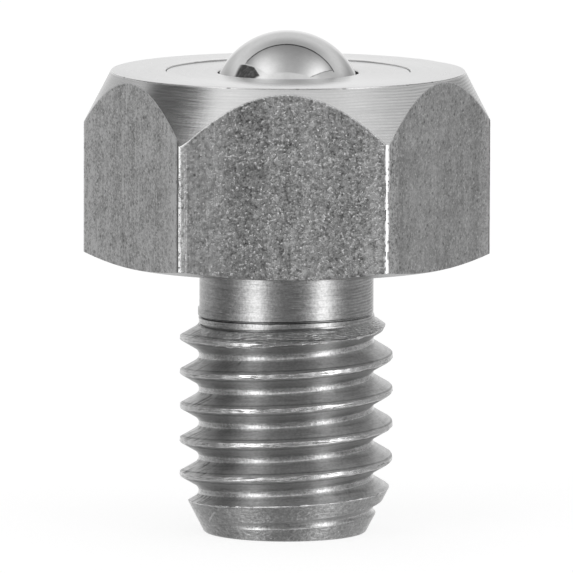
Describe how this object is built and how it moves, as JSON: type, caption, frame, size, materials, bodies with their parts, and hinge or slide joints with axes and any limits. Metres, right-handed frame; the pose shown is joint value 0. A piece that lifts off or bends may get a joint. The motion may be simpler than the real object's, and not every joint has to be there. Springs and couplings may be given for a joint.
{
  "type": "ball roller screw",
  "caption": "Hexagon-head screw with a captive steel ball in its head that rolls in any direction under a load.",
  "frame": {"origin": "centre of the head's seat face, where the head meets the surface it is screwed down on, on the screw axis", "axes": "+Z along the screw axis from the thread up through the large ball; +X towards a corner of the hexagon head; +Y square to a flat of it"},
  "size_m": [0.015, 0.013, 0.0184],
  "materials": {
    "turned_steel": "turned bright, flats as drawn",
    "hardened_steel": "ground race, hardened",
    "ring_steel": "faced with the head after pressing in",
    "polished_ball": "mirror polished"
  },
  "bodies": {
    "housing": {"screw_body": "turned_steel", "ball_cup": "hardened_steel", "cover_ring": "ring_steel"},
    "ball_bed": {"support_ball_01": "polished_ball", "support_ball_02": "polished_ball", "support_ball_03": "polished_ball", "support_ball_04": "polished_ball", "support_ball_05": "polished_ball", "support_ball_06": "polished_ball", "support_ball_07": "polished_ball", "support_ball_08": "polished_ball", "support_ball_09": "polished_ball", "support_ball_10": "polished_ball", "support_ball_11": "polished_ball", "support_ball_12": "polished_ball", "support_ball_13": "polished_ball", "support_ball_14": "polished_ball", "support_ball_15": "polished_ball", "support_ball_16": "polished_ball", "support_ball_17": "polished_ball", "support_ball_18": "polished_ball", "support_ball_19": "polished_ball", "support_ball_20": "polished_ball", "support_ball_21": "polished_ball", "support_ball_22": "polished_ball", "support_ball_23": "polished_ball", "support_ball_24": "polished_ball", "support_ball_25": "polished_ball", "support_ball_26": "polished_ball", "support_ball_27": "polished_ball", "support_ball_28": "polished_ball", "support_ball_29": "polished_ball", "support_ball_30": "polished_ball", "support_ball_31": "polished_ball", "support_ball_32": "polished_ball"},
    "load_ball": {"load_ball": "polished_ball"}
  },
  "joints": [
    {"name": "ball_swivel", "type": "hinge", "parent": "housing", "child": "ball_bed", "pos_m": [0, 0, 0.0057], "axis": [0, 0, 1], "continuous": true},
    {"name": "ball_roll", "type": "hinge", "parent": "ball_bed", "child": "load_ball", "pos_m": [0, 0, 0.0057], "axis": [1, 0, 0], "continuous": true}
  ]
}
